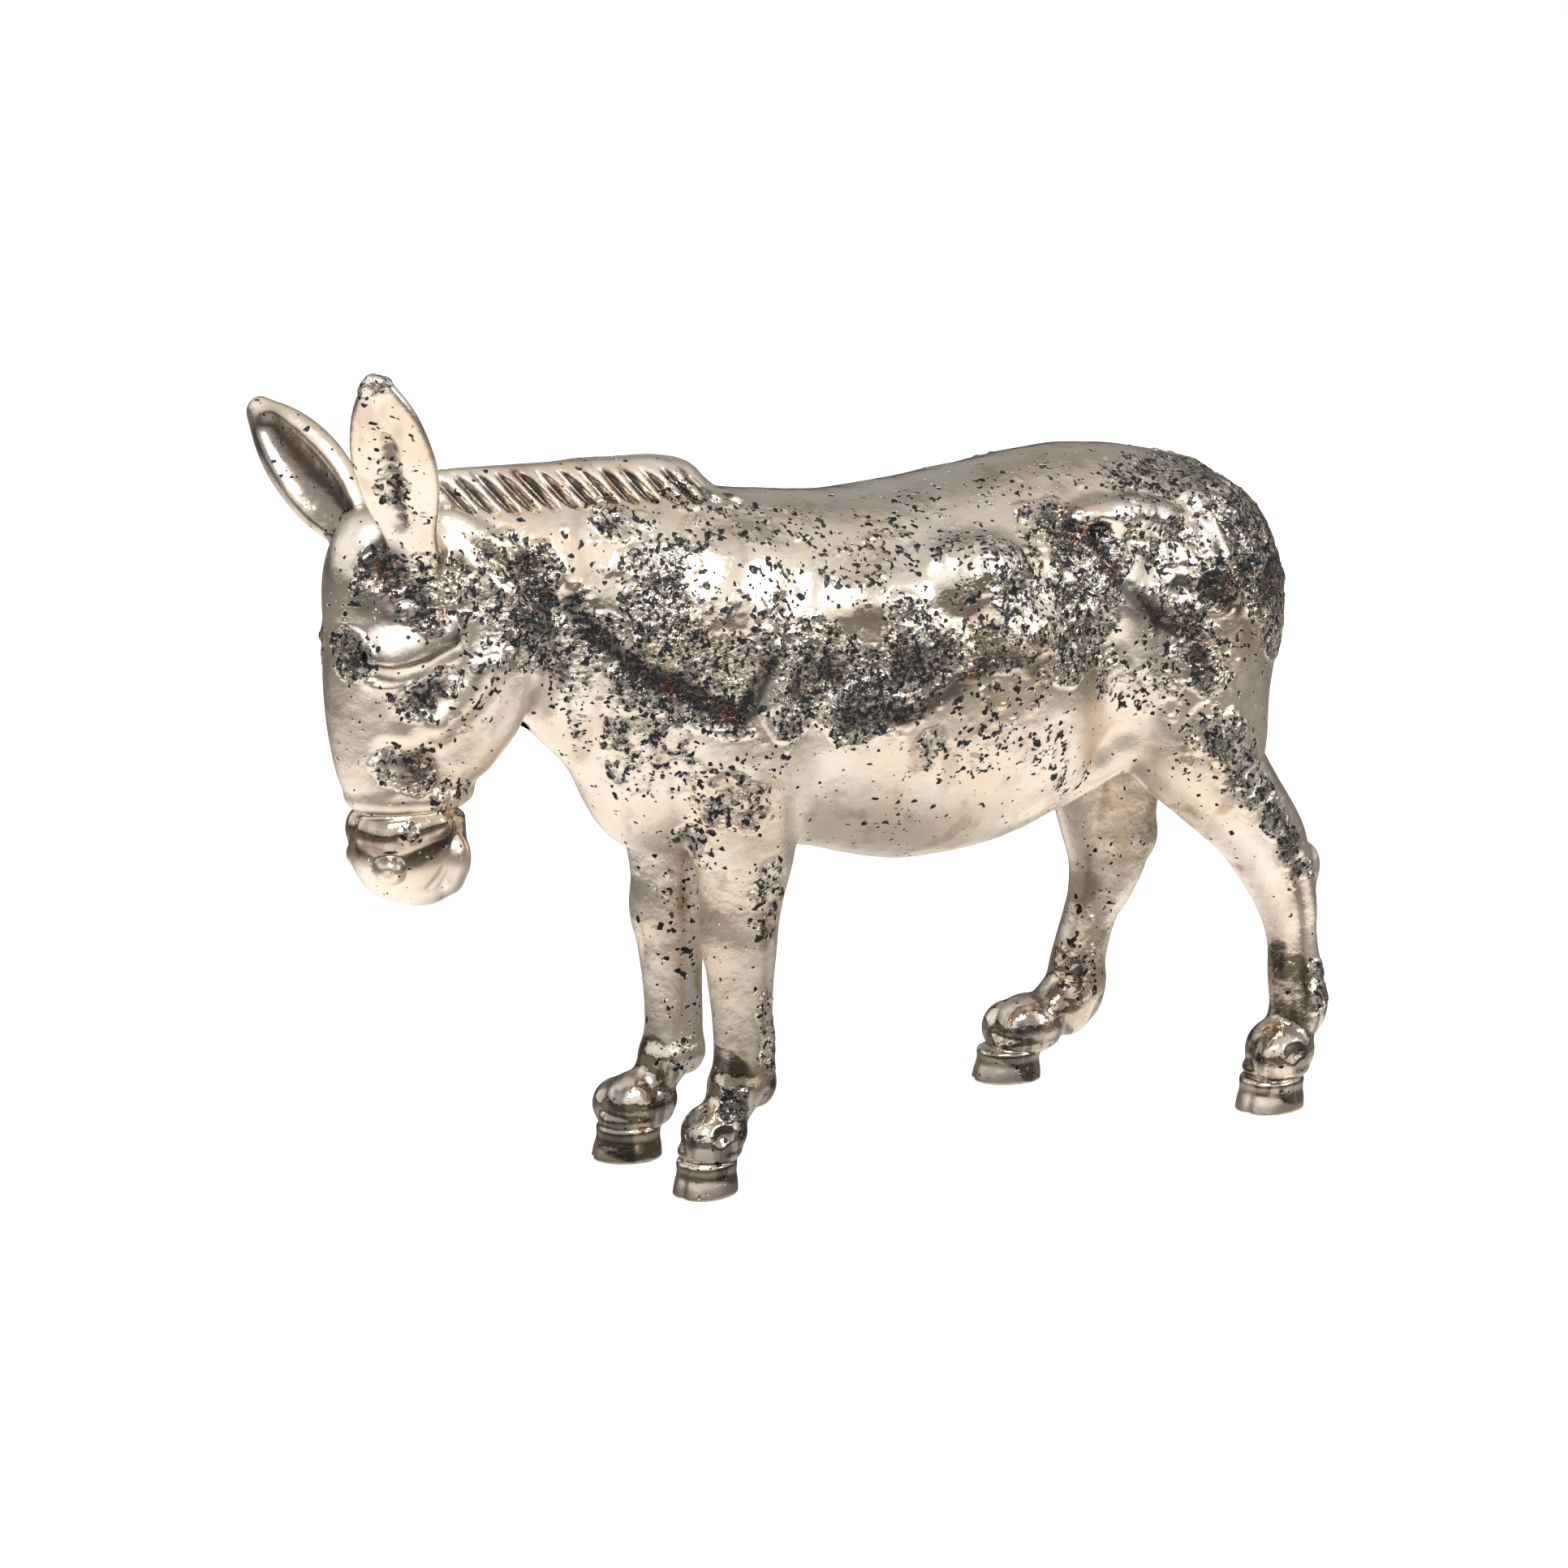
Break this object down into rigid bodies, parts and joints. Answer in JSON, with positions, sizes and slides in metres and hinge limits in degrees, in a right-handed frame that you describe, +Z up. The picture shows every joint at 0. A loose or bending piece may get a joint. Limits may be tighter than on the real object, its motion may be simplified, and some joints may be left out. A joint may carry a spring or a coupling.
{
  "type": "cast metal donkey figure",
  "caption": "Standing donkey figure in polished cast metal with a lowered head, splayed ears, a grooved mane and a pitted surface.",
  "frame": {"origin": "on the ground, at the centre of the figure's bounding box, under the middle of the belly", "axes": "+Z is up; +X runs along the body from the head to the tail, so the donkey faces -X; +Y points to the donkey's right, so its left side faces -Y"},
  "size_m": [0.319, 0.0962, 0.2474],
  "materials": {
    "polished_casting": "polished over a pitted, darkened cast skin",
    "satin_casting": "satin with faint brush marks and shallow pits",
    "bright_casting": "bright polished"
  },
  "bodies": {
    "root": {"body_left_shell": "polished_casting", "body_right_shell": "polished_casting", "head": "polished_casting", "muzzle": "bright_casting", "ear_left": "polished_casting", "ear_right": "polished_casting", "mane": "polished_casting", "tail": "polished_casting", "foreleg_left": "satin_casting", "foreleg_right": "satin_casting", "hindleg_left": "satin_casting", "hindleg_right": "satin_casting", "hoof_front_left": "bright_casting", "hoof_front_right": "bright_casting", "hoof_rear_left": "bright_casting", "hoof_rear_right": "bright_casting"}
  },
  "joints": []
}
